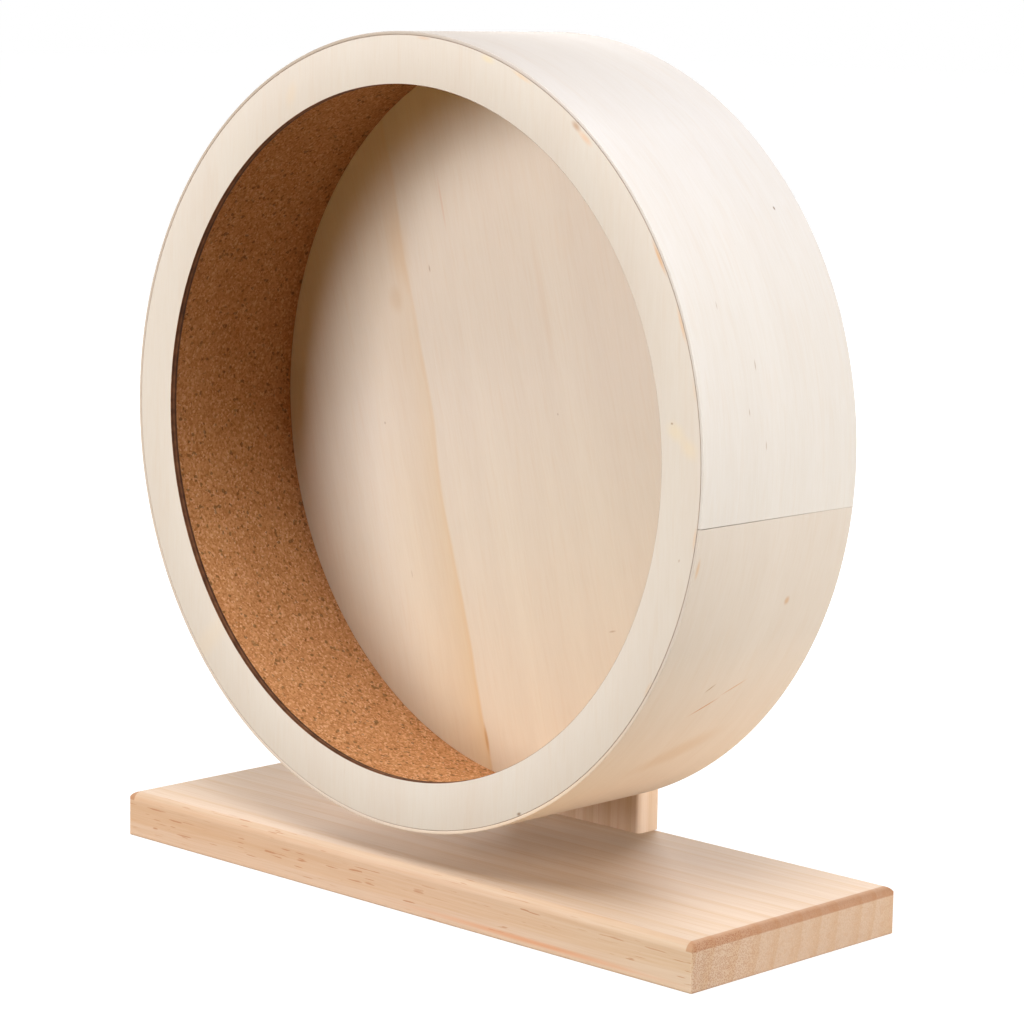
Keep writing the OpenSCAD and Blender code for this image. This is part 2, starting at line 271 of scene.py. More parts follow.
def paper_sweep():
    # Smooth heavy paper, unglazed: it has no gloss and no grain that would show.
    material, tree, place = new_material("paper_sweep")
    behind = add(tree, "ShaderNodeSeparateXYZ", {"Vector": place}, give="Y")
    behind = add(tree, "ShaderNodeMapRange",
                 {"Value": behind, "From Min": CARD_END, "From Max": PAPER_START},
                 interpolation_type="SMOOTHSTEP")
    sheet = add(tree, "ShaderNodeMix", {"Factor": behind, "A": linear(CARD), "B": linear(PAPER)},
                data_type="RGBA")
    sheet = add(tree, "ShaderNodeBsdfDiffuse", {"Color": sheet})
    faint = add(tree, "ShaderNodeBsdfDiffuse", {"Color": linear(SHADE_CATCHER)})
    reach = add(tree, "ShaderNodeVectorMath", {0: place}, operation="LENGTH", give="Value")
    strength = add(tree, "ShaderNodeMapRange",
                   {"Value": reach, "From Min": GLOW_RISE, "From Max": GLOW_FULL,
                    "To Min": GLOW_NEAR, "To Max": GLOW_FAR}, interpolation_type="SMOOTHSTEP")
    glow = add(tree, "ShaderNodeEmission", {"Color": linear(WHITE), "Strength": strength})
    lifted = add(tree, "ShaderNodeAddShader", {0: faint, 1: glow})
    both = add(tree, "ShaderNodeMixShader", {0: shown(tree), 1: sheet, 2: lifted})
    add(tree, "ShaderNodeOutputMaterial", {"Surface": both})
    return material


floor_mesh = bpy.data.meshes.new("floor")
corners = [(x * FLOOR_REACH, y * FLOOR_REACH, 0) for x, y in ((-1, -1), (1, -1), (1, 1), (-1, 1))]
floor_mesh.from_pydata(corners, [], [(0, 1, 2, 3)])
floor_mesh.materials.append(paper_sweep())
floor = in_scene("floor", floor_mesh)
print("floor", 2 * FLOOR_REACH, "m wide")

# %% [markdown]
# ## A strip that is bent round
# The skin and the cork lining are both flat strips before they are wrapped and glued. A
# ring could be turned as a lathe form, but then it would have no ends, no seam and no
# length. So one Geometry Nodes tree does what the maker does: it draws the strip's cross
# section, sweeps it along its flat length, writes on each point where it lies on the flat
# strip, and then bends the strip round the axle. The wood's grain and the cork's crumbs
# later read that flat place, so the pattern runs along the strip as it does on real stock.
# The section comes first: a rectangle with eased corners. Its inner side is cut finer, so
# that the cork's crumbs can stand proud there.

# %% Draw the strip's cross section
def strip_section(tree, size):
    outline = add(tree, "GeometryNodeCurvePrimitiveQuadrilateral",
                  {"Width": size["Width"], "Height": size["Thickness"]})
    outline = add(tree, "GeometryNodeFilletCurve",
                  {"Curve": outline, "Count": 3, "Radius": size["Edge easing"]}, mode="POLY")
    place = add(tree, "GeometryNodeInputPosition")
    parts = add(tree, "ShaderNodeSeparateXYZ", {"Vector": place}).node.outputs
    inner_level = add(tree, "ShaderNodeMath", {0: size["Thickness"], 1: -0.4999},
                      operation="MULTIPLY")
    on_inner = add(tree, "FunctionNodeCompare", {"A": parts["Y"], "B": inner_level},
                   operation="LESS_THAN")
    at_start = add(tree, "FunctionNodeCompare", {"A": parts["X"], "B": 0.0},
                   operation="LESS_THAN")
    long_side = add(tree, "FunctionNodeBooleanMath", {0: on_inner, 1: at_start}, operation="AND")
    cuts = add(tree, "GeometryNodeSwitch",
               {"Switch": long_side, "False": 0, "True": size["Steps across"]}, input_type="INT")
    return add(tree, "GeometryNodeSubdivideCurve", {"Curve": outline, "Cuts": cuts})


# %% [markdown]
# Bending turns the place along the strip into an angle, and the place through its thickness
# into a radius. The two ends leave a gap between them, which may be wider in front than at
# the back. On the inner side a noise presses each point a little way into the strip, and what
# it leaves standing is the crumbs.

# %% Bend a point round the axle
def bend(tree, size, flat, length):
    parts = add(tree, "ShaderNodeSeparateXYZ", {"Vector": flat}).node.outputs
    share = add(tree, "ShaderNodeMath", {0: parts["X"], 1: length}, operation="DIVIDE")
    gap = add(tree, "ShaderNodeMapRange",
              {"Value": parts["Y"], "From Min": 0.0, "From Max": size["Width"],
               "To Min": size["Gap at front"], "To Max": size["Gap at back"]})
    spare = add(tree, "ShaderNodeMath", {0: length, 1: gap}, operation="SUBTRACT")
    along = add(tree, "ShaderNodeMath", {0: share, 1: spare}, operation="MULTIPLY")
    half_gap = add(tree, "ShaderNodeMath", {0: gap, 1: 0.5}, operation="MULTIPLY")
    along = add(tree, "ShaderNodeMath", {0: along, 1: half_gap}, operation="ADD")
    turn = add(tree, "ShaderNodeMath", {0: along, 1: size["Outer radius"]}, operation="DIVIDE")
    angle = add(tree, "ShaderNodeMath", {0: turn, 1: size["Seam angle"]}, operation="ADD")

    crumbs = add(tree, "ShaderNodeTexNoise",
                 {"Vector": flat, "Scale": size["Crumb scale"], "Detail": 2.0})
    under = add(tree, "ShaderNodeMapRange",
                {"Value": parts["Z"], "From Min": size["Thickness"], "From Max": 0.0})
    dent = add(tree, "ShaderNodeMath", {0: crumbs, 1: size["Crumb depth"]}, operation="MULTIPLY")
    dent = add(tree, "ShaderNodeMath", {0: dent, 1: under}, operation="MULTIPLY")
    inner = add(tree, "ShaderNodeMath", {0: size["Outer radius"], 1: size["Thickness"]},
                operation="SUBTRACT")
    radius = add(tree, "ShaderNodeMath", {0: inner, 1: parts["Z"]}, operation="ADD")
    radius = add(tree, "ShaderNodeMath", {0: radius, 1: dent}, operation="ADD")

    cosine = add(tree, "ShaderNodeMath", {0: angle}, operation="COSINE")
    sine = add(tree, "ShaderNodeMath", {0: angle}, operation="SINE")
    x = add(tree, "ShaderNodeMath", {0: radius, 1: cosine}, operation="MULTIPLY")
    y = add(tree, "ShaderNodeMath", {0: parts["Y"], 1: size["Front edge"]}, operation="ADD")
    z = add(tree, "ShaderNodeMath", {0: radius, 1: sine}, operation="MULTIPLY")
    z = add(tree, "ShaderNodeMath", {0: z, 1: size["Axle height"]}, operation="ADD")
    return add(tree, "ShaderNodeCombineXYZ", {"X": x, "Y": y, "Z": z})


# %% [markdown]
# The tree names its sizes as inputs, then sweeps, writes and bends. The sweep lies with its
# middle on the line, so it is first moved by half its width and half its thickness: every
# place on the flat strip is then counted from one corner.

# %% Put the strip's tree together
STRIP_INPUTS = {
    "NodeSocketFloat": ("Outer radius", "Thickness", "Width", "Front edge", "Axle height",
                        "Seam angle", "Gap at front", "Gap at back", "Edge easing",
                        "Crumb depth", "Crumb scale"),
    "NodeSocketInt": ("Steps round", "Steps across"),
    "NodeSocketMaterial": ("Finish",),
}


def bent_strip_tree():
    tree = bpy.data.node_groups.new("bent_strip", "GeometryNodeTree")
    for kind, names in STRIP_INPUTS.items():
        for name in names:
            tree.interface.new_socket(name, in_out="INPUT", socket_type=kind)
    tree.interface.new_socket("Strip", in_out="OUTPUT", socket_type="NodeSocketGeometry")
    size = add(tree, "NodeGroupInput").node.outputs

    length = add(tree, "ShaderNodeMath", {0: size["Outer radius"], 1: math.tau},
                 operation="MULTIPLY")
    end = add(tree, "ShaderNodeCombineXYZ", {"X": length})
    line = add(tree, "GeometryNodeCurvePrimitiveLine", {"End": end})
    points = add(tree, "ShaderNodeMath", {0: size["Steps round"], 1: 1.0}, operation="ADD")
    line = add(tree, "GeometryNodeResampleCurve", {"Curve": line, "Count": points})
    solid = add(tree, "GeometryNodeCurveToMesh",
                {"Curve": line, "Profile Curve": strip_section(tree, size), "Fill Caps": True})

    place = add(tree, "GeometryNodeInputPosition")
    half_width = add(tree, "ShaderNodeMath", {0: size["Width"], 1: 0.5}, operation="MULTIPLY")
    half_thick = add(tree, "ShaderNodeMath", {0: size["Thickness"], 1: 0.5}, operation="MULTIPLY")
    corner = add(tree, "ShaderNodeCombineXYZ", {"Y": half_width, "Z": half_thick})
    flat = add(tree, "ShaderNodeVectorMath", {0: place, 1: corner}, operation="ADD")
    solid = add(tree, "GeometryNodeSetPosition", {"Geometry": solid, "Position": flat})
    solid = add(tree, "GeometryNodeStoreNamedAttribute",
                {"Geometry": solid, "Name": "flat_place", "Value": place},
                data_type="FLOAT_VECTOR", domain="POINT")
    solid = add(tree, "GeometryNodeSetPosition",
                {"Geometry": solid, "Position": bend(tree, size, place, length)})
    solid = add(tree, "GeometryNodeRealizeInstances", {"Geometry": solid})
    solid = add(tree, "GeometryNodeSetMaterial", {"Geometry": solid, "Material": size["Finish"]})
    add(tree, "NodeGroupOutput", {"Strip": solid})
    return tree


strip_tree = bent_strip_tree()
print("bent_strip has", len(strip_tree.nodes), "nodes")

# %% [markdown]
# A tree does nothing until an object carries it. The second helper here sets the tree's
# inputs by their identifiers, lets Blender work the strip out once, keeps the result as a
# plain mesh and throws the carrier away. The first one cleans any such mesh: it merges
# doubled points, turns every face outwards and shades it smooth but for sharp edges.

# %% Bake a strip into a plain mesh
SHARP_FROM = 30     # degrees between two faces


def new_piece(name, mesh):
    """Cleans and smooths a mesh, and puts it in the scene."""
    mesh.name = name
    shell = bmesh.new()
    shell.from_mesh(mesh)
    bmesh.ops.remove_doubles(shell, verts=shell.verts, dist=0.001 * MM)
    bmesh.ops.recalc_face_normals(shell, faces=shell.faces)
    closed = all(edge.is_manifold for edge in shell.edges)
    volume = shell.calc_volume(signed=True)
    shell.to_mesh(mesh)
    shell.free()
    mesh.polygons.foreach_set("use_smooth", [True] * len(mesh.polygons))
    mesh.set_sharp_from_angle(angle=math.radians(SHARP_FROM))
    print(name, len(mesh.polygons), "faces, closed", closed, f"{volume * 1e6:.1f} cm3")
    return in_scene(name, mesh)


def bent_strip(name, sizes):
    carrier = in_scene(name + "_tree", bpy.data.meshes.new(name + "_tree"))
    modifier = carrier.modifiers.new("bent_strip", "NODES")
    modifier.node_group = strip_tree
    for item in strip_tree.interface.items_tree:
        if item.name in sizes:
            modifier[item.identifier] = sizes[item.name]
    depsgraph = bpy.context.evaluated_depsgraph_get()
    mesh = bpy.data.meshes.new_from_object(carrier.evaluated_get(depsgraph))
    bpy.data.objects.remove(carrier)
    return new_piece(name, mesh)


# %% [markdown]
# ## Wood, in three layers
# Every wood on the wheel is bare and sanded, and the eye reads it in three layers: broad
# bands of early and late growth, fine fibres along the grain, and short dark vessels or
# resin lines. The first functions here make one layer each, in a place whose X runs along
# the grain. The others lay marks and tones over a colour, and end the material.

# %% Layers that the woods share
def stretched(tree, place, along, across):
    """The place squeezed so that a pattern of one unit is that long and wide, in mm."""
    scale = (per(along), per(across), per(across))
    return add(tree, "ShaderNodeVectorMath", {0: place, 1: scale}, operation="MULTIPLY")


def fibres(tree, place, along, across, detail=3.0):
    """Fine streaks along the grain, as a number from 0 to 1."""
    return add(tree, "ShaderNodeTexNoise",
               {"Vector": stretched(tree, place, along, across), "Scale": 1.0,
                "Detail": detail, "Roughness": 0.55})


def dashes(tree, place, along, across, share):
    """Short dark lines along the grain: 1 on the few strongest streaks, and 0 elsewhere."""
    streaks = fibres(tree, place, along, across, detail=1.0)
    return add(tree, "ShaderNodeMapRange",
               {"Value": streaks, "From Min": share, "From Max": share + 0.06},
               interpolation_type="SMOOTHSTEP")


# %% [markdown]
# A mark is an ellipsoid in space, 1 in its middle and 0 outside it, soft at its rim: where it
# cuts the surface, an elliptical spot shows. A stain is mixed in where a mask is 1, and a
# tone multiplies the colour by a ramp.

# %% Lay marks and tones over a colour
def spot(tree, place, centre, half_sizes, turns=(0, 0, 0), soft=1.0):
    """A mark's mask, turned by that many degrees about each axis."""
    unit = add(tree, "ShaderNodeMapping",
               {"Vector": place, "Location": centre, "Scale": half_sizes,
                "Rotation": [math.radians(t) for t in turns]}, vector_type="TEXTURE")
    reach = add(tree, "ShaderNodeVectorMath", {0: unit}, operation="LENGTH", give="Value")
    return add(tree, "ShaderNodeMapRange",
               {"Value": reach, "From Min": 1.0, "From Max": 1.0 - soft},
               interpolation_type="SMOOTHSTEP")


def stained(tree, colour, mask, tint, weight=1.0):
    """The colour with a stain laid over it where the mask is 1."""
    share = add(tree, "ShaderNodeMath", {0: mask, 1: weight}, operation="MULTIPLY")
    return add(tree, "ShaderNodeMix", {"Factor": share, "A": colour, "B": linear(tint)},
               data_type="RGBA")


def shaded(tree, colour, value, stops, weight=1.0):
    """The colour multiplied by the tones of a ramp that the value runs through."""
    tones = add(tree, "ShaderNodeValToRGB", {"Fac": value}, ramp=stops)
    return add(tree, "ShaderNodeMix", {"Factor": weight, "A": colour, "B": tones},
               data_type="RGBA", blend_type="MULTIPLY")


def surface(tree, colour, roughness, relief, strength, depth, values):
    """Ends a material: its colour, its roughness, a relief that many mm deep, and the rest."""
    bump = add(tree, "ShaderNodeBump",
               {"Strength": strength, "Distance": depth * MM, "Height": relief})
    shader = add(tree, "ShaderNodeBsdfPrincipled",
                 {"Base Color": colour, "Roughness": roughness, "Normal": bump, **values})
    add(tree, "ShaderNodeOutputMaterial", {"Surface": shader})


def matt_wood(tree, colour, relief, depth=0.007, rough=(0.62, 0.74), gloss=0.25):
    """Bare sanded wood, whose roughness and relief follow the fibres."""
    roughness = add(tree, "ShaderNodeMapRange",
                    {"Value": relief, "To Min": rough[0], "To Max": rough[1]})
    surface(tree, colour, roughness, relief, 0.35, depth, {"Specular IOR Level": gloss})


# %% [markdown]
# ## Veneer: the ring, the disc and the skin
# The drum is limewood-faced plywood, a pale cream veneer peeled off the log, with hardly any
# figure: slow bands of tone, a silky fibre and a few short vessel lines. It is left bare, so
# it is matt and even. One function lays the veneer's colour, and each panel adds its marks.

# %% Lay a veneer's colour
def veneer(tree, place, pale, deep, band=26.0):
    """Bands from a pale to a deep tone, short strokes and vessel lines. Returns the silk too."""
    bands = fibres(tree, place, along=240.0, across=band, detail=2.0)
    colour = add(tree, "ShaderNodeValToRGB", {"Fac": bands}, ramp=[(0.35, pale), (0.65, deep)])
    strokes = fibres(tree, place, along=26.0, across=2.2, detail=2.0)
    colour = shaded(tree, colour, strokes, [(0.32, "#FEFCFA"), (0.5, WHITE), (0.7, "#FEFDFC")])
    silk = fibres(tree, place, along=12.0, across=0.7, detail=2.0)
    colour = shaded(tree, colour, silk, [(0.3, "#FDFCFA"), (0.6, WHITE)])
    vessels = dashes(tree, place, along=4.0, across=0.45, share=0.76)
    return stained(tree, colour, vessels, "#8A6A4A", weight=0.07), silk


# %% [markdown]
# The skin's veneer runs along the strip. Its tone along the strip is mostly painted light
# and shade: darkest where the strip passes over the top of the drum at rest, as painted
# shade against the lamp above, and lightest low on the right, as painted light from below.
# The two ends differ a little, so the colour steps at the seam. A few marks are the wood's
# own: a pin knot, a speck, two long brown scratches low on the right, and short vessel
# dashes along the front edge. Bare veneer has hardly any gloss, and the skin gets the least
# of all: a shine along its top would melt that edge into the white room.

# %% Finish of the skin
SKIN_LENGTH = math.tau * drum_radius
SEAM_ANGLE = -6.5       # degrees round, from level on the right
# Painted light and shade along the strip: darkest at 0.3, over the top of the drum at rest.
SKIN_TONES_AND_PAINTED_LIGHT = [(0.0, "#E2EAEE"), (0.07, "#E1E8EB"), (0.16, "#E8EFF4"), (0.3, "#C9C7C1"),
              (0.74, "#E8E6E0"), (0.86, "#F7EFE0"), (0.91, "#E3DFD7"), (0.95, "#DADCDA"),
              (1.0, "#DEE1E0")]
SKIN_MARKS = [
    # degrees round, mm from the front, half length, half width, tilt in degrees, colour, weight
    (36.7, 68.4, 1.1, 0.6, 0, "#6B4A34", 0.85),
    (-19.2, 56.4, 2.4, 1.9, 0, "#B98F66", 0.6),
    (-36.4, 37.0, 9.0, 0.5, 58, "#B9743C", 0.85),
    (-33.4, 48.0, 8.0, 0.5, 60, "#C08450", 0.65),
    (-32.6, 34.0, 3.5, 0.5, 48, "#9C7B58", 0.75),
    (-47.0, 44.0, 26.0, 9.0, 58, "#C79E70", 0.28),
    (14.5, 31.0, 2.6, 0.3, 3, "#8F6F52", 0.7),
    (8.3, 25.0, 1.8, 0.3, -2, "#8F6F52", 0.6),
    (3.6, 33.0, 2.2, 0.3, 0, "#96765A", 0.6),
    (23.0, 18.0, 2.0, 0.3, 4, "#96765A", 0.5),
    (-12.0, 2.0, 5.0, 1.1, 4, "#C99F70", 0.5),
]
MARK_DEPTH = 3.0        # mm, half a mark's size into the wood


def share_along(tree, place, length):
    """How far along the flat strip a point lies, from 0 at one end to 1 at the other."""
    along = add(tree, "ShaderNodeSeparateXYZ", {"Vector": place})
    return add(tree, "ShaderNodeMath", {0: along, 1: length}, operation="DIVIDE")


def skin_plywood():
    # Thin limewood plywood, bare: the palest face of the wheel, silky along the strip.
    material, tree, place = new_material("limewood_ply_skin", on_strip=True)
    colour, silk = veneer(tree, place, pale="#EEE2DB", deep="#EBDED6", band=18.0)
    # Painted shade over the top of the drum, painted light low on the right, a step at the seam.
    colour = shaded(tree, colour, share_along(tree, place, SKIN_LENGTH), SKIN_TONES_AND_PAINTED_LIGHT)
    for degrees, from_front, long, wide, tilt, tint, weight in SKIN_MARKS:
        round_strip = ((degrees - SEAM_ANGLE) % 360) / 360 * SKIN_LENGTH
        mask = spot(tree, place, (round_strip, from_front * MM, skin_thickness),
                    (long * MM, wide * MM, MARK_DEPTH * MM), turns=(0, 0, tilt), soft=0.8)
        colour = stained(tree, colour, mask, tint, weight)
    matt_wood(tree, colour, silk, gloss=0.06)
    return material


print(f"the skin is {SKIN_LENGTH / MM:.0f} mm long when flat, with {len(SKIN_MARKS)} marks")

# %% [markdown]
# The skin itself is 1.2 mm thick and wraps the drum once. Its ends meet in a butt seam that
# stands a hair open at the front and closes towards the back.

# %% Wrap the skin
skin = bent_strip("skin_strip", {
    "Outer radius": drum_radius,
    "Thickness": skin_thickness,
    "Width": skin_high.y - skin_low.y,
    "Front edge": skin_low.y,
    "Axle height": axle_height,
    "Seam angle": math.radians(SEAM_ANGLE),
    "Gap at front": 0.3 * MM,
    "Gap at back": 0.06 * MM,
    "Edge easing": 0.2 * MM,
    "Crumb depth": 0.0,
    "Crumb scale": per(3.0),
    "Steps round": 480,
    "Steps across": 0,
    "Finish": skin_plywood(),
})
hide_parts("rim_skin")
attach(skin, "wheel")

# %% [markdown]
# ## Cork
# The track is a strip of pressed cork, made of crumbs about a millimetre across: most are
# warm brown, some are pale and some are dark bark. Voronoi cells are just such crumbs, each
# with its own colour. The crumbs also stand proud a little, and Geometry Nodes has already
# given the strip that relief, so the bump only adds the edges between crumbs. Along its
# length the strip is darkened over the top and upper left of the drum and left light at
# the bottom: painted shade and painted light for the shade that falls inside the drum.

# %% Finish of the cork
CRUMB, BARK, CLOUD, GRIT = 0.8, 1.2, 14.0, 0.6      # mm across
CRUMB_COLOURS = [(0.0, "#C38954"), (0.4, "#D49F6A"), (0.8, "#E0B079"), (1.0, "#EDC69A")]
CORK_LENGTH = math.tau * track_outer
# Painted shade over the top and upper left of the drum, painted light at its bottom.
CORK_PAINTED_SHADE_TONES = [(0.0, "#E0E0E0"), (0.17, "#D2D2D2"), (0.3, "#D0D0D0"), (0.42, "#E0E0DC"),
              (0.54, "#F2F2F2"), (0.65, WHITE), (0.8, "#F6F6F6"), (1.0, "#E0E0E0")]


def pressed_cork():
    # Fine pressed cork, sanded and bare: matt, warm, freckled with darker bark.
    material, tree, place = new_material("pressed_cork", on_strip=True)
    crumbs = add(tree, "ShaderNodeTexVoronoi", {"Vector": place, "Scale": per(CRUMB)},
                 give="Color")
    crumbs = add(tree, "ShaderNodeSeparateColor", {"Color": crumbs}, give="Red")
    colour = add(tree, "ShaderNodeValToRGB", {"Fac": crumbs}, ramp=CRUMB_COLOURS)
    bark = add(tree, "ShaderNodeTexVoronoi", {"Vector": place, "Scale": per(BARK)}, give="Color")
    bark = add(tree, "ShaderNodeSeparateColor", {"Color": bark}, give="Green")
    bark = add(tree, "ShaderNodeMapRange", {"Value": bark, "From Min": 0.93, "From Max": 0.97})
    colour = stained(tree, colour, bark, "#5D3519", weight=0.5)
    cloud = add(tree, "ShaderNodeTexNoise",
                {"Vector": place, "Scale": per(CLOUD), "Detail": 4.0, "Roughness": 0.6})
    cloud = add(tree, "ShaderNodeValToRGB", {"Fac": cloud},
                ramp=[(0.3, "#7C7C7C"), (0.7, "#909090")])
    colour = add(tree, "ShaderNodeMix", {"Factor": 0.35, "A": colour, "B": cloud},
                 data_type="RGBA", blend_type="OVERLAY")
    # Painted shade and light along the strip.
    colour = shaded(tree, colour, share_along(tree, place, CORK_LENGTH), CORK_PAINTED_SHADE_TONES)
    edges = add(tree, "ShaderNodeTexVoronoi", {"Vector": place, "Scale": per(CRUMB)},
                feature="DISTANCE_TO_EDGE")
    grit = add(tree, "ShaderNodeTexNoise", {"Vector": place, "Scale": per(GRIT), "Detail": 2.0})
    height = add(tree, "ShaderNodeMath", {0: edges, 1: grit}, operation="ADD")
    surface(tree, colour, 0.85, height, 0.5, 0.12, {"Specular IOR Level": 0.15})
    return material


print(f"the cork is {CORK_LENGTH / MM:.0f} mm long when flat")

# %% [markdown]
# The cork is sanded to 2 mm and lines the drum from the ring to the disc. Its seam lies on
# the right, where the ring hides it from the camera. Its mesh is cut far finer than the
# skin's, for the relief.

# %% Line the drum
cork = bent_strip("cork_strip", {
    "Outer radius": track_outer,
    "Thickness": 2.0 * MM,
    "Width": cork_high.y - cork_low.y,
    "Front edge": cork_low.y,
    "Axle height": axle_height,
    "Seam angle": math.radians(35),
    "Gap at front": 0.3 * MM,
    "Gap at back": 0.3 * MM,
    "Edge easing": 0.25 * MM,
    "Crumb depth": 0.14 * MM,
    "Crumb scale": per(2.2),
    "Steps round": 880,
    "Steps across": 84,
    "Finish": pressed_cork(),
})
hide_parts("cork_lining")
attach(cork, "wheel")

# %% [markdown]
# ## The front ring
# The ring is cut from 3 mm plywood by a laser. The beam chars the cut, so its inner edge is
# chocolate brown with a paler middle ply, and round the outside a burnt hairline shows
# between the ring and the skin. The ring is turned here as a section swept round the axle,
# with its corners taken off by a hair, so that the hairline is a real groove.

# %% Turn the ring
OPENING_RADIUS = 128.0 * MM     # as in the construction: no box tells it
INNER_EASE, OUTER_EASE = 0.15 * MM, 0.3 * MM
RING_STEPS, CORNER_STEPS = 480, 3


def turned(name, section, steps):
    """Sweeps a closed section of (radius, y) points round the axle."""
    points = []
    for step in range(steps):
        angle = math.tau * step / steps
        for radius, y in section:
            points.append((radius * math.cos(angle), y, axle_height + radius * math.sin(angle)))
    count = len(section)
    faces = []
    for step in range(steps):
        here, there = step * count, (step + 1) % steps * count
        for i in range(count):
            j = (i + 1) % count
            faces.append((here + i, here + j, there + j, there + i))
    mesh = bpy.data.meshes.new(name)
    mesh.from_pydata(points, [], faces)
    return new_piece(name, mesh)


def eased_corner(radius, y, ease, start):
    """Points of a quarter circle about that centre, from the angle start on."""
    turns = [math.radians(start + 90 * i / CORNER_STEPS) for i in range(CORNER_STEPS + 1)]
    return [(radius + ease * math.cos(t), y + ease * math.sin(t)) for t in turns]


ring_section = (
    eased_corner(OPENING_RADIUS + INNER_EASE, ring_low.y + INNER_EASE, INNER_EASE, 180)
    + eased_corner(ring_outer - OUTER_EASE, ring_low.y + OUTER_EASE, OUTER_EASE, 270)
    + eased_corner(ring_outer - INNER_EASE, ring_high.y - INNER_EASE, INNER_EASE, 0)
    + eased_corner(OPENING_RADIUS + INNER_EASE, ring_high.y - INNER_EASE, INNER_EASE, 90)
)
ring = turned("cut_ring", ring_section, RING_STEPS)

# %% [markdown]
# The char is a matter of place: whatever lies on the cut's radius is burnt, and from front to
# back the plies take the burn differently. So two measures are needed: how far a point lies
# from the axle, and how deep in the ring. A third function turns a panel's grain upright.

# %% Burn the cut edges
CHAR = [(0.0, "#895732"), (0.12, "#613C23"), (0.3, "#54331D"), (0.36, "#6E472F"),
        (0.62, "#7B5135"), (0.68, "#4D2F1C"), (1.0, "#583822")]


def radius_from_axle(tree, place):
    """How far a point of the drum lies from the axle, in metres."""
    flat = add(tree, "ShaderNodeVectorMath", {0: place, 1: AXLE}, operation="SUBTRACT")
    flat = add(tree, "ShaderNodeVectorMath", {0: flat, 1: (1.0, 0.0, 1.0)},
               operation="MULTIPLY")
    return add(tree, "ShaderNodeVectorMath", {0: flat}, operation="LENGTH", give="Value")


def upright_grain(tree, place, lean=0.0):
    """The place turned so that X runs up the panel, leaning left by that many degrees."""
    return add(tree, "ShaderNodeMapping",
               {"Vector": place, "Rotation": (0.0, math.radians(90 + lean), 0.0)},
               vector_type="POINT")


def burnt_edge(tree, place):
    """The laser's char on 3 mm plywood, ply by ply, from the front of the ring to its back."""
    depth = add(tree, "ShaderNodeSeparateXYZ", {"Vector": place}, give="Y")
    depth = add(tree, "ShaderNodeMapRange",
                {"Value": depth, "From Min": ring_low.y, "From Max": ring_high.y})
    plies = add(tree, "ShaderNodeValToRGB", {"Fac": depth}, ramp=CHAR)
    scorch = add(tree, "ShaderNodeTexNoise", {"Vector": place, "Scale": per(4.0), "Detail": 3.0})
    return shaded(tree, plies, scorch, [(0.35, "#B9AFA6"), (0.65, WHITE)])


# %% [markdown]
# The ring's face is veneer with an upright grain. Its marks sit where the cut has scorched
# or the glue has seeped: orange stains at the rim, and one pin knot in a yellow halo on the
# right.

# %% Finish of the ring
INNER_BURN = (0.18, 0.08)       # mm outside the opening, where the burn starts and is full
OUTER_BURN = (0.35, 0.12)       # mm inside the rim
RING_MARKS = [
    # degrees round, radius, half length and half width in mm, tilt, colour, weight
    (53.8, 144.3, 3.6, 1.8, -38, "#A8743F", 0.55),
    (51.5, 143.8, 6.0, 1.8, -38, "#DFA870", 0.4),
    (30.6, 144.9, 9.0, 1.1, -60, "#CF9450", 0.6),
    (21.0, 145.0, 9.0, 1.0, -70, "#D8A468", 0.45),
    (12.0, 145.0, 6.0, 0.9, -78, "#DFB27A", 0.15),
    (66.0, 144.9, 7.0, 1.1, -25, "#E3B77E", 0.35),
    (73.0, 144.4, 5.0, 1.8, -17, "#E6D29A", 0.35),
    (86.0, 145.0, 5.0, 0.8, -5, "#D2A684", 0.4),
    (-8.0, 145.0, 6.0, 0.8, 82, "#DDB07C", 0.35),
    (-31.0, 145.0, 5.0, 0.8, 60, "#D8B48C", 0.3),
    (-63.7, 145.0, 1.6, 0.9, 26, "#7E5F42", 0.8),
    (7.8, 133.5, 0.8, 0.6, 0, "#7A5230", 0.75),
    (6.6, 134.8, 6.0, 4.5, -30, "#E6D2A4", 0.3),
    (4.2, 140.5, 7.0, 4.5, -40, "#E6CFA4", 0.28),
    (-11.7, 139.9, 0.9, 0.5, 70, "#A88260", 0.5),
    (116.0, 136.0, 8.0, 4.0, 70, "#E8C796", 0.15),
    (-139.0, 138.0, 26.0, 7.0, 45, "#E0CDB2", 0.25),
]


def ring_plywood():
    # Laser-cut limewood plywood: bare cream face, charred cut edges.
    material, tree, place = new_material("limewood_ply_laser_cut")
    colour, silk = veneer(tree, upright_grain(tree, place), pale="#D5CEC6", deep="#D3CAC1")
    for degrees, radius, long, wide, tilt, tint, weight in RING_MARKS:
        angle = math.radians(degrees)
        centre = (radius * MM * math.cos(angle), ring_low.y,
                  axle_height + radius * MM * math.sin(angle))
        mask = spot(tree, place, centre, (long * MM, MARK_DEPTH * MM, wide * MM),
                    turns=(0, -tilt, 0), soft=0.9)
        colour = stained(tree, colour, mask, tint, weight)
    reach = radius_from_axle(tree, place)
    inner = add(tree, "ShaderNodeMapRange",
                {"Value": reach, "From Min": OPENING_RADIUS + INNER_BURN[0] * MM,
                 "From Max": OPENING_RADIUS + INNER_BURN[1] * MM})
    outer = add(tree, "ShaderNodeMapRange",
                {"Value": reach, "From Min": ring_outer - OUTER_BURN[0] * MM,
                 "From Max": ring_outer - OUTER_BURN[1] * MM, "To Max": 0.6})
    cut = add(tree, "ShaderNodeMath", {0: inner, 1: outer}, operation="MAXIMUM")
    colour = add(tree, "ShaderNodeMix",
                 {"Factor": cut, "A": colour, "B": burnt_edge(tree, place)}, data_type="RGBA")
    matt_wood(tree, colour, silk)
    return material


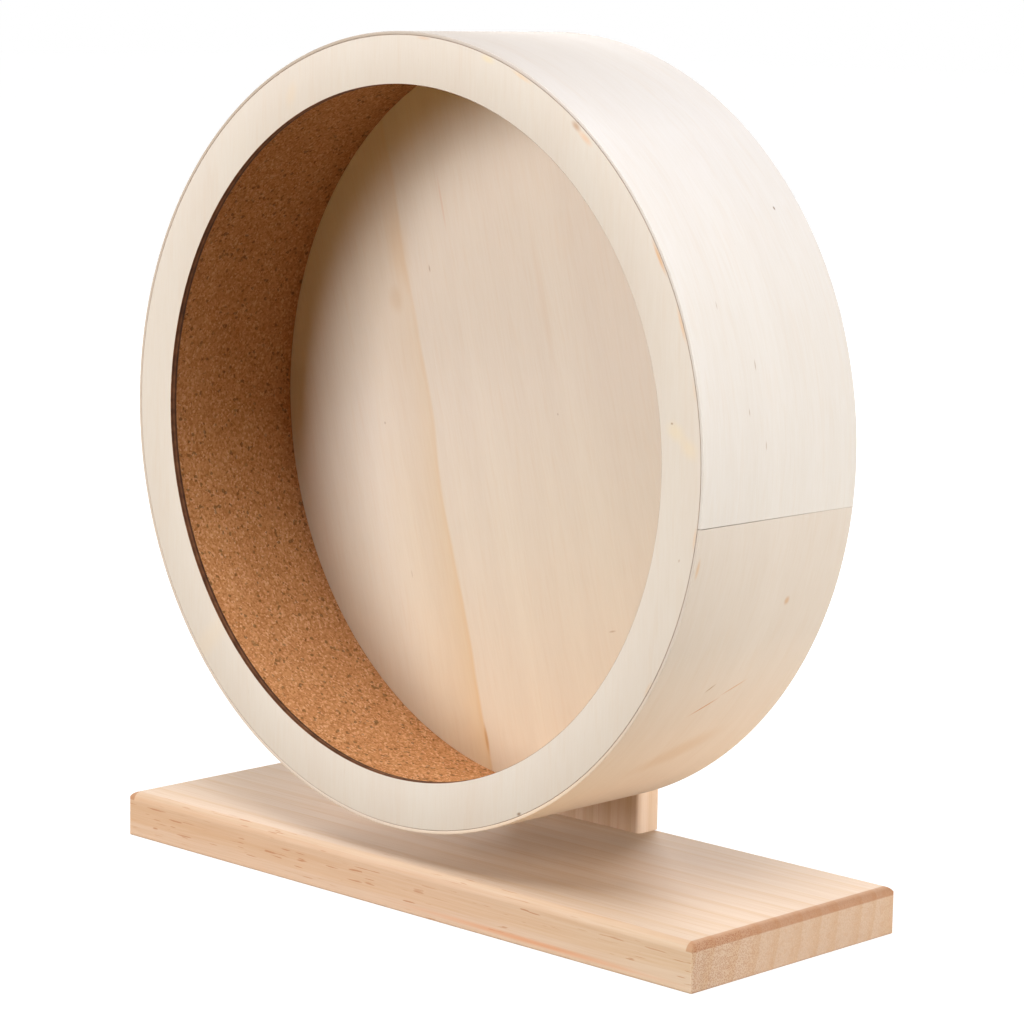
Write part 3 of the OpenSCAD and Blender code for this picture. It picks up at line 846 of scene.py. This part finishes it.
ring.data.materials.append(ring_plywood())
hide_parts("front_ring")
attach(ring, "wheel")

# %% [markdown]
# ## The back disc
# The disc closes the drum. Its veneer leans a little to the left, and a streak of darker
# heartwood runs down it: honey-coloured on its left side, then a sharp amber line, and
# paler wood beyond. The construction's mesh is already right, so it only gets the finish.
# The streak is measured across the grain, so it is one number at each point, and a ramp
# turns that number into the streak's tones. A slow wobble keeps the line from being ruled.

# %% Draw the heartwood streak
STREAK_START, STREAK_END = 56.6, 96.6       # mm to the left of the axle, across the grain
STREAK_WOBBLE = 4.0                         # mm to either side
STREAK_FADES_UP = 110.0                     # mm above the axle, where it is faintest
STREAK_TONES = [(0.0, WHITE), (0.08, WHITE), (0.115, "#FAE9D0"), (0.17, "#FBF0DF"),
                (0.4, "#FDF7EE"), (1.0, WHITE)]


def heartwood_streak(tree, grain, colour):
    """The honey streak: strongest at its sharp right-hand edge and low down on the disc."""
    parts = add(tree, "ShaderNodeSeparateXYZ", {"Vector": grain}).node.outputs
    wobble = add(tree, "ShaderNodeTexNoise",
                 {"W": parts["X"], "Scale": per(70.0), "Detail": 1.5}, noise_dimensions="1D")
    wobble = add(tree, "ShaderNodeMapRange",
                 {"Value": wobble, "To Min": -STREAK_WOBBLE * MM, "To Max": STREAK_WOBBLE * MM})
    left = add(tree, "ShaderNodeMath", {0: parts["Z"], 1: wobble}, operation="ADD")
    span = add(tree, "ShaderNodeMapRange",
               {"Value": left, "From Min": STREAK_START * MM, "From Max": STREAK_END * MM})
    low_down = add(tree, "ShaderNodeMapRange",
                   {"Value": parts["X"], "From Min": STREAK_FADES_UP * MM,
                    "From Max": -STREAK_FADES_UP * MM, "To Min": 0.3, "To Max": 1.0})
    return shaded(tree, colour, span, STREAK_TONES, weight=low_down)


# %% [markdown]
# Towards its foot the whole sheet is made a little darker and more yellow, as painted
# shade against the lamp above, which lights the foot most. It also has its own few specks,
# stains and pale pink lines.

# %% Finish of the disc
GRAIN_LEAN = 15.0       # degrees
FOOT, HEAD = -130, 130  # mm up the grain, from the axle
# Painted shade at the foot, against the lamp above.
FOOT_PAINTED_SHADE_TONES = [(0.05, "#F6EEDE"), (0.35, "#F9F8F3"), (0.55, WHITE), (1.0, WHITE)]
DISC_MARKS = [
    # mm up the grain, mm to its left, half length, half width, colour, weight
    (68.2, 47.8, 2.0, 0.5, "#94673E", 0.5),
    (60.1, 69.3, 8.0, 5.0, "#C99F6C", 0.22),
    (80.0, 63.0, 22.0, 8.0, "#E0B888", 0.25),
    (92.0, 35.1, 15.0, 0.8, "#D9A98A", 0.3),
    (45.0, -9.5, 40.0, 3.0, "#D6B292", 0.15),
    (-48.5, 86.7, 2.2, 0.4, "#A07C56", 0.3),
    (13.0, 87.4, 0.8, 0.6, "#8A6542", 0.4),
    (1.0, -7.2, 0.7, 0.5, "#8A6542", 0.35),
    (-84.0, -16.0, 0.5, 2.4, "#A98058", 0.5),
    (-118.0, 60.6, 8.0, 1.2, "#BE8646", 0.6),
]


def disc_plywood():
    # Limewood plywood again, from a log with a heartwood streak.
    material, tree, place = new_material("limewood_ply_heart_streak")
    centred = add(tree, "ShaderNodeVectorMath", {0: place, 1: AXLE}, operation="SUBTRACT")
    grain = upright_grain(tree, centred, lean=GRAIN_LEAN)
    colour, silk = veneer(tree, grain, pale="#E9DFD4", deep="#E6DBD0", band=14.0)
    colour = heartwood_streak(tree, grain, colour)
    up_disc = add(tree, "ShaderNodeSeparateXYZ", {"Vector": grain})
    up_disc = add(tree, "ShaderNodeMapRange",
                  {"Value": up_disc, "From Min": FOOT * MM, "From Max": HEAD * MM})
    # Darker and more yellow towards the foot: painted shade.
    colour = shaded(tree, colour, up_disc, FOOT_PAINTED_SHADE_TONES)
    for up, left, long, wide, tint, weight in DISC_MARKS:
        mask = spot(tree, grain, (up * MM, disc_low.y, left * MM),
                    (long * MM, MARK_DEPTH * MM, wide * MM), soft=0.8)
        colour = stained(tree, colour, mask, tint, weight)
    matt_wood(tree, colour, silk)
    return material


def put_on(finish, *nodes):
    """Gives a finish to pieces that keep the construction's own mesh."""
    for node in nodes:
        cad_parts[node].data.materials[0] = finish
    print(finish.name, "on", ", ".join(nodes))


put_on(disc_plywood(), "back_disc")

# %% [markdown]
# ## Pine: the board, the post and the hub
# Pine is drawn as a solid block of tree rings. Each point's distance from the heart of the
# log, which lies outside the board, says where it is in a ring: soft pale spring wood first,
# then harder orange summer wood, then a sudden step to the next ring. Because the rings fill
# space, the same block gives the bands along the top, the arcs on the end grain and the
# plain face in front, and they agree at every edge.

# %% Grow the pine
RING_WANDER = 4.0       # mm, by which a ring strays along the log


def growth_rings(tree, grain, ring_width):
    """Where a point is in its growth ring, from 0 at the spring wood to 1. Years differ."""
    wander = add(tree, "ShaderNodeTexNoise",
                 {"Vector": stretched(tree, grain, 190.0, 40.0), "Scale": 1.0, "Detail": 2.0},
                 give="Color")
    wander = add(tree, "ShaderNodeVectorMath", {0: wander, 1: (0.5, 0.5, 0.5)},
                 operation="SUBTRACT")
    wander = add(tree, "ShaderNodeVectorMath",
                 {0: wander, 1: (0.0, RING_WANDER * MM, RING_WANDER * MM)}, operation="MULTIPLY")
    grain = add(tree, "ShaderNodeVectorMath", {0: grain, 1: wander}, operation="ADD")
    flat = add(tree, "ShaderNodeVectorMath", {0: grain, 1: (0.0, 1.0, 1.0)},
               operation="MULTIPLY")
    reach = add(tree, "ShaderNodeVectorMath", {0: flat}, operation="LENGTH", give="Value")
    rings = add(tree, "ShaderNodeMath", {0: reach, 1: per(ring_width)}, operation="MULTIPLY")
    years = add(tree, "ShaderNodeTexNoise", {"W": rings, "Scale": 0.7, "Detail": 0.0},
                noise_dimensions="1D")
    years = add(tree, "ShaderNodeMapRange", {"Value": years, "To Min": -0.3, "To Max": 0.3})
    rings = add(tree, "ShaderNodeMath", {0: rings, 1: years}, operation="ADD")
    return add(tree, "ShaderNodeMath", {0: rings}, operation="FRACT")


def pine_colour(tree, grain, ring_width, early, late):
    """Spring and summer wood, with long streaks and a short silk. Returns the silk as well."""
    share = growth_rings(tree, grain, ring_width)
    colour = add(tree, "ShaderNodeValToRGB", {"Fac": share},
                 ramp=[(0.0, early), (0.35, early), (0.85, late), (0.95, late), (1.0, early)])
    streaks = fibres(tree, grain, along=130.0, across=2.6)
    colour = shaded(tree, colour, streaks, [(0.36, "#FCF7F2"), (0.5, WHITE), (0.68, "#FFFDFB")])
    silk = fibres(tree, grain, along=30.0, across=0.7)
    return shaded(tree, colour, silk, [(0.3, "#F8F2EC"), (0.62, WHITE)]), silk


# %% [markdown]
# End grain drinks the light: the fibres are cut across, so it is darker, and freckled with
# open pores, more so where the saw has torn it. Whether a face shows end grain is read from
# the way that it faces.

# %% Darken the end grain
PORE = 0.55     # mm across


def end_grain(tree, axis):
    """1 on faces that cut across the grain, and 0 on those along it."""
    normal = add(tree, "ShaderNodeTexCoord", give="Normal")
    facing = add(tree, "ShaderNodeSeparateXYZ", {"Vector": normal}, give=axis)
    facing = add(tree, "ShaderNodeMath", {0: facing}, operation="ABSOLUTE")
    return add(tree, "ShaderNodeMapRange", {"Value": facing, "From Min": 0.35, "From Max": 0.75},
               interpolation_type="SMOOTHSTEP")


def sawn_end(tree, grain, colour, across, torn):
    """Darkens and freckles the colour on end grain, from cleanly cut to torn by the saw."""
    pores = add(tree, "ShaderNodeTexVoronoi", {"Vector": grain, "Scale": per(PORE)},
                give="Distance")
    rough = shaded(tree, colour, pores, [(0.1, "#CDAFA0"), (0.6, "#F2EFED")])
    clean = shaded(tree, colour, pores, [(0.0, "#E1DAD6"), (0.7, "#EDE7E4")])
    ends = add(tree, "ShaderNodeMix", {"Factor": torn, "A": clean, "B": rough}, data_type="RGBA")
    return add(tree, "ShaderNodeMix", {"Factor": across, "A": colour, "B": ends},
               data_type="RGBA")


# %% [markdown]
# Resin canals that are cut lengthwise show as short brown dashes in clusters along the
# board's front face, and a reddish streak runs along that face's lower edge. Over each end
# the sanded corner cuts the grain aslant and is more orange than the rest; it is also
# darkened there, as painted shade against the strong light of the lamps on that rounded
# corner.

# %% Marks of the board
CANALS_START, CANALS_FULL = -44, -54        # mm, towards the front face
RESIN_CENTRE, RESIN_HALF_SIZES = (0.075, base_low.y, 0.0028), (0.09, 0.004, 0.0016)
CORNER_OVER = (3.3, 2.9)                    # mm in from the end, where its corner begins
CORNER_ABOVE = (3.4, 3.0)                   # mm down from the top


def resin_marks(tree, place, parts, grain, across, colour):
    front_side = add(tree, "ShaderNodeMapRange",
                    {"Value": parts["Y"], "From Min": CANALS_START * MM,
                     "From Max": CANALS_FULL * MM})
    clusters = add(tree, "ShaderNodeTexNoise",
                   {"Vector": stretched(tree, grain, 60.0, 6.0), "Scale": 1.0, "Detail": 1.0})
    clusters = add(tree, "ShaderNodeMapRange",
                   {"Value": clusters, "From Min": 0.42, "From Max": 0.58})
    off_end = add(tree, "ShaderNodeMath", {0: 1.0, 1: across}, operation="SUBTRACT")
    canals = dashes(tree, grain, along=11.0, across=0.85, share=0.65)
    for share in (clusters, front_side, off_end):
        canals = add(tree, "ShaderNodeMath", {0: canals, 1: share}, operation="MULTIPLY")
    colour = stained(tree, colour, canals, "#A8683C", weight=0.62)
    resin = spot(tree, place, RESIN_CENTRE, RESIN_HALF_SIZES, turns=(0, 0.4, 0))
    return stained(tree, colour, resin, "#D08A5E", weight=0.6)


# Orange where the grain is cut aslant, and darkened as painted shade against strong light.
def sanded_corner_and_painted_shade(tree, parts, colour):
    outward_x = add(tree, "ShaderNodeMath", {0: parts["X"]}, operation="ABSOLUTE")
    over_end = add(tree, "ShaderNodeMapRange",
                   {"Value": outward_x, "From Min": base_high.x - CORNER_OVER[0] * MM,
                    "From Max": base_high.x - CORNER_OVER[1] * MM})
    above_end = add(tree, "ShaderNodeMapRange",
                    {"Value": parts["Z"], "From Min": base_high.z - CORNER_ABOVE[0] * MM,
                     "From Max": base_high.z - CORNER_ABOVE[1] * MM})
    corner = add(tree, "ShaderNodeMath", {0: over_end, 1: above_end}, operation="MULTIPLY")
    return add(tree, "ShaderNodeMix", {"Factor": corner, "A": colour, "B": linear("#E4CDBC")},
               data_type="RGBA", blend_type="MULTIPLY")


# %% [markdown]
# The heart of the board's log lay in front of it and a little higher. So the rings cross the
# end as slanting arcs, and each one darkens towards the back and stops at a sharp edge. The
# front face, its rounded edge and the top each get a slightly different tone: painted light
# and shade that evens out how the lamps fall on them. Along the face the tone also changes
# from left to right. On the ends the saw has torn the front third.

# %% Finish of the board
BOARD_HEART = (0.0, -160.0, 41.0)       # mm
FACE_END, TOP_START = -56.4, -52.0      # mm, before and behind the rounded front edge
ON_FACE = 0.15                          # of the way from the face to the top
TORN_START, TORN_FULL = -12, -36        # mm, towards the front
# Painted light and shade: a tone each for the front face, the rounded edge and the top.
FRONT_PAINTED_LIGHT_TONES = [(0.0, "#F8F9F9"), (0.2, "#F0F0F0"), (0.7, "#F4F5F7"), (1.0, "#F1F3F4")]
FACE_TONES = [(0.0, "#F9F1EC"), (0.6, "#FAF5F5"), (1.0, "#FBFEFF")]


def planed_board():
    # Scots pine, planed and sanded, bare: pale pinkish cream with slightly darker rings.
    material, tree, place = new_material("planed_pine_board")
    grain = add(tree, "ShaderNodeVectorMath", {0: place, 1: [c * MM for c in BOARD_HEART]},
                operation="SUBTRACT")
    colour, silk = pine_colour(tree, grain, ring_width=11.0, early="#DBC3AD", late="#D8BCA1")
    parts = add(tree, "ShaderNodeSeparateXYZ", {"Vector": place}).node.outputs
    from_front = add(tree, "ShaderNodeMapRange",
                     {"Value": parts["Y"], "From Min": FACE_END * MM, "From Max": TOP_START * MM})
    # Painted light and shade from the front face over the rounded edge to the top.
    colour = shaded(tree, colour, from_front, FRONT_PAINTED_LIGHT_TONES)
    on_front = add(tree, "ShaderNodeMath", {0: from_front, 1: ON_FACE}, operation="LESS_THAN")
    from_left = add(tree, "ShaderNodeMapRange",
                    {"Value": parts["X"], "From Min": base_low.x, "From Max": base_high.x})
    colour = shaded(tree, colour, from_left, FACE_TONES, weight=on_front)
    across = end_grain(tree, "X")
    colour = resin_marks(tree, place, parts, grain, across, colour)
    torn = add(tree, "ShaderNodeMapRange",
               {"Value": parts["Y"], "From Min": TORN_START * MM, "From Max": TORN_FULL * MM},
               interpolation_type="SMOOTHSTEP")
    colour = sawn_end(tree, grain, colour, across, torn)
    colour = sanded_corner_and_painted_shade(tree, parts, colour)
    matt_wood(tree, colour, silk, depth=0.03, rough=(0.66, 0.78))
    return material


put_on(planed_board(), "base_board")

# %% [markdown]
# The post and the turned hub block behind the disc are pine too, with their grain upright.
# Each comes from its own log, with its own heart and width of ring.

# %% Finish of the post and the hub
def upright_pine(name, heart, ring_width, early, late):
    # Planed pine again, pale and bare, with end grain on its top and its foot.
    material, tree, place = new_material(name)
    centred = add(tree, "ShaderNodeVectorMath", {0: place, 1: [c * MM for c in heart]},
                  operation="SUBTRACT")
    grain = upright_grain(tree, centred)
    colour, silk = pine_colour(tree, grain, ring_width, early, late)
    colour = sawn_end(tree, grain, colour, end_grain(tree, "Z"), 0.3)
    matt_wood(tree, colour, silk, depth=0.03)
    return material


put_on(upright_pine("planed_pine_post", heart=(-60.0, 120.0, 0.0), ring_width=6.5,
                    early="#E6CCB5", late="#DEC1A4"), "post")
put_on(upright_pine("turned_pine_hub", heart=(30.0, -40.0, 0.0), ring_width=4.0,
                    early="#E9CBA6", late="#D2A578"), "hub_block")

# %% [markdown]
# ## Metals and plastic
# The bolt, the spacer, the washers and the screws are steel with a bright zinc plate, whose
# crystals leave a soft, slightly blue bloom. The cap nut is nickel-plated and shinier. The
# bearing's races and balls are ground steel, its shields are pressed sheet and its cage is
# moulded nylon. The dowels are beech.

# %% Finish the fittings
def metal(name, colour, dull, bloom, rough, grit, depth):
    """Plated or ground steel: two close tones in patches, and a fine tooth. Sizes in mm."""
    material, tree, place = new_material(name)
    patches = add(tree, "ShaderNodeTexNoise",
                  {"Vector": place, "Scale": per(bloom), "Detail": 4.0})
    tone = add(tree, "ShaderNodeValToRGB", {"Fac": patches}, ramp=[(0.35, dull), (0.65, colour)])
    tooth = add(tree, "ShaderNodeTexNoise", {"Vector": place, "Scale": per(grit), "Detail": 3.0})
    roughness = add(tree, "ShaderNodeMapRange",
                    {"Value": patches, "To Min": rough - 0.08, "To Max": rough + 0.08})
    surface(tree, tone, roughness, tooth, 0.2, depth, {"Metallic": 1.0})
    return material


def moulded_nylon():
    # Natural nylon, moulded: milky, faintly yellow, with a soft gloss.
    material, tree, place = new_material("moulded_nylon")
    cloud = add(tree, "ShaderNodeTexNoise", {"Vector": place, "Scale": per(2.0), "Detail": 2.0})
    tone = add(tree, "ShaderNodeValToRGB", {"Fac": cloud},
               ramp=[(0.3, "#E4DDC8"), (0.7, "#EFEADB")])
    surface(tree, tone, 0.42, cloud, 0.15, 0.01, {"IOR": 1.53})
    return material


def beech_dowel():
    # Beech, turned and fluted: pinkish brown with short dark flecks along the grain.
    material, tree, place = new_material("beech_dowel")
    grain = upright_grain(tree, place)
    silk = fibres(tree, grain, along=20.0, across=0.5)
    tone = add(tree, "ShaderNodeValToRGB", {"Fac": silk},
               ramp=[(0.3, "#C99C72"), (0.7, "#DDB891")])
    flecks = dashes(tree, grain, along=2.5, across=0.3, share=0.66)
    matt_wood(tree, stained(tree, tone, flecks, "#9A6B45"), silk)
    return material


# Bright zinc plate: pale grey with a blue tinge, its crystals a soft bloom.
put_on(metal("bright_zinc_plate", "#C9CDD2", "#B4B9C0", bloom=3.0, rough=0.36, grit=0.3,
             depth=0.01), "post_screws", "axle_bolt", "axle_spacer", "front_washer", "rear_washer")
# Nickel plate: warmer than zinc, smooth and shiny.
put_on(metal("nickel_plate", "#D8D3C8", "#CCC6BA", bloom=8.0, rough=0.16, grit=0.5,
             depth=0.004), "axle_nut")
# Ground bearing steel: neutral, even, and close to a mirror.
put_on(metal("ground_bearing_steel", "#C4C4C2", "#B9B9B8", bloom=4.0, rough=0.18, grit=0.2,
             depth=0.003), "bearing_inner_race", "bearing_outer_race", "bearing_balls")
# Pressed sheet steel: as it left the press, satin and a little darker.
put_on(metal("pressed_sheet_steel", "#BDBEBE", "#AEB0B1", bloom=5.0, rough=0.3, grit=0.3,
             depth=0.006), "bearing_front_shield", "bearing_rear_shield")
put_on(moulded_nylon(), "bearing_cage")
put_on(beech_dowel(), "post_dowels")
